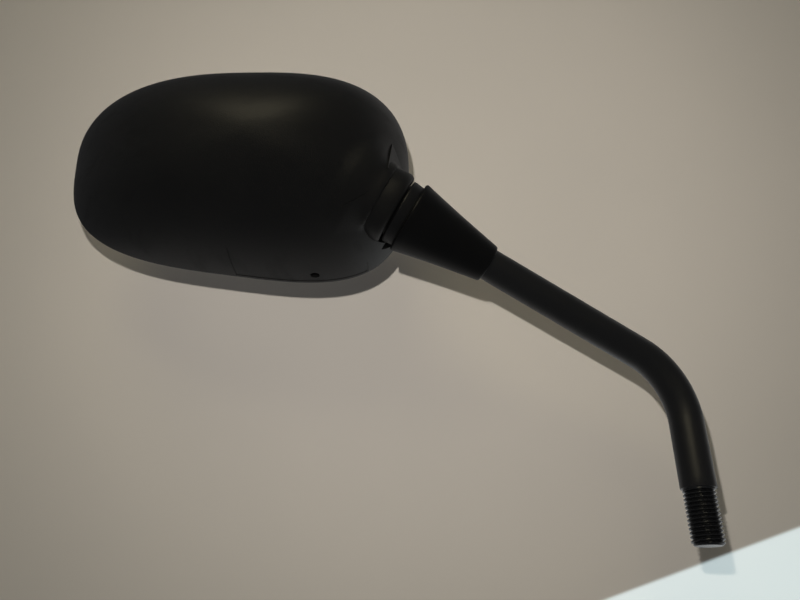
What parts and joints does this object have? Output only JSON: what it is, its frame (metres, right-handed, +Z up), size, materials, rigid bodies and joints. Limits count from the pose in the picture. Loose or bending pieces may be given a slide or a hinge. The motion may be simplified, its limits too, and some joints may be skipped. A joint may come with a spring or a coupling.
{
  "type": "handlebar rear-view mirror",
  "caption": "Right-hand handlebar mirror with a rounded black shell, a ball-jointed head, a conical sleeve and a bent threaded stem.",
  "frame": {"origin": "centre of the stem where its thread begins", "axes": "+Z up along the lower stem, -Y the way the glass faces, +X from the stem towards the head"},
  "size_m": [0.2212, 0.065, 0.1583],
  "materials": {
    "shell_plastic": "fine textured black ABS",
    "ring_plastic": "smooth black glass-filled nylon",
    "sleeve_plastic": "satin black polypropylene",
    "stem_coating": "satin black coating",
    "bare_steel": "ground steel, lightly oiled",
    "spring_steel": "blued spring steel",
    "screw_steel": "zinc plated",
    "liner_plastic": "natural acetal",
    "black_rubber": "matt black rubber",
    "white_foam": "closed-cell adhesive foam",
    "carrier_plastic": "dark grey polypropylene",
    "mirror_silver": "silvered convex glass"
  },
  "bodies": {
    "stem": {"stem_rod": "stem_coating", "cone_sleeve": "sleeve_plastic", "sleeve_bush": "liner_plastic", "sleeve_clip": "spring_steel", "sleeve_o_ring": "black_rubber", "pivot_ball": "bare_steel", "ball_roll_pin": "spring_steel"},
    "back_liner": {"ball_liner_back": "liner_plastic"},
    "front_liner": {"ball_liner_front": "liner_plastic"},
    "head": {"rear_shell": "shell_plastic", "retainer_ring": "ring_plastic", "collar_seal": "black_rubber", "pressure_cup": "liner_plastic", "disc_springs": "spring_steel", "spring_washer": "bare_steel", "adjuster_plug": "ring_plastic", "carrier_plate": "carrier_plastic", "carrier_screws": "screw_steel", "foam_pad": "white_foam", "mirror_glass": "mirror_silver", "glass_gasket": "black_rubber"}
  },
  "joints": [
    {"name": "head_spin", "type": "hinge", "parent": "stem", "child": "back_liner", "pos_m": [0.10399, 0.0312, 0.08764], "axis": [-0.8702, -0.2611, -0.4179], "continuous": true},
    {"name": "head_tilt_level", "type": "hinge", "parent": "back_liner", "child": "front_liner", "pos_m": [0.10399, 0.0312, 0.08764], "axis": [0.2874, -0.9578, 0], "range_deg": [-10, 10]},
    {"name": "head_tilt_across", "type": "hinge", "parent": "front_liner", "child": "head", "pos_m": [0.10399, 0.0312, 0.08764], "axis": [-0.4002, -0.1201, 0.9085], "range_deg": [-3, 10]}
  ]
}
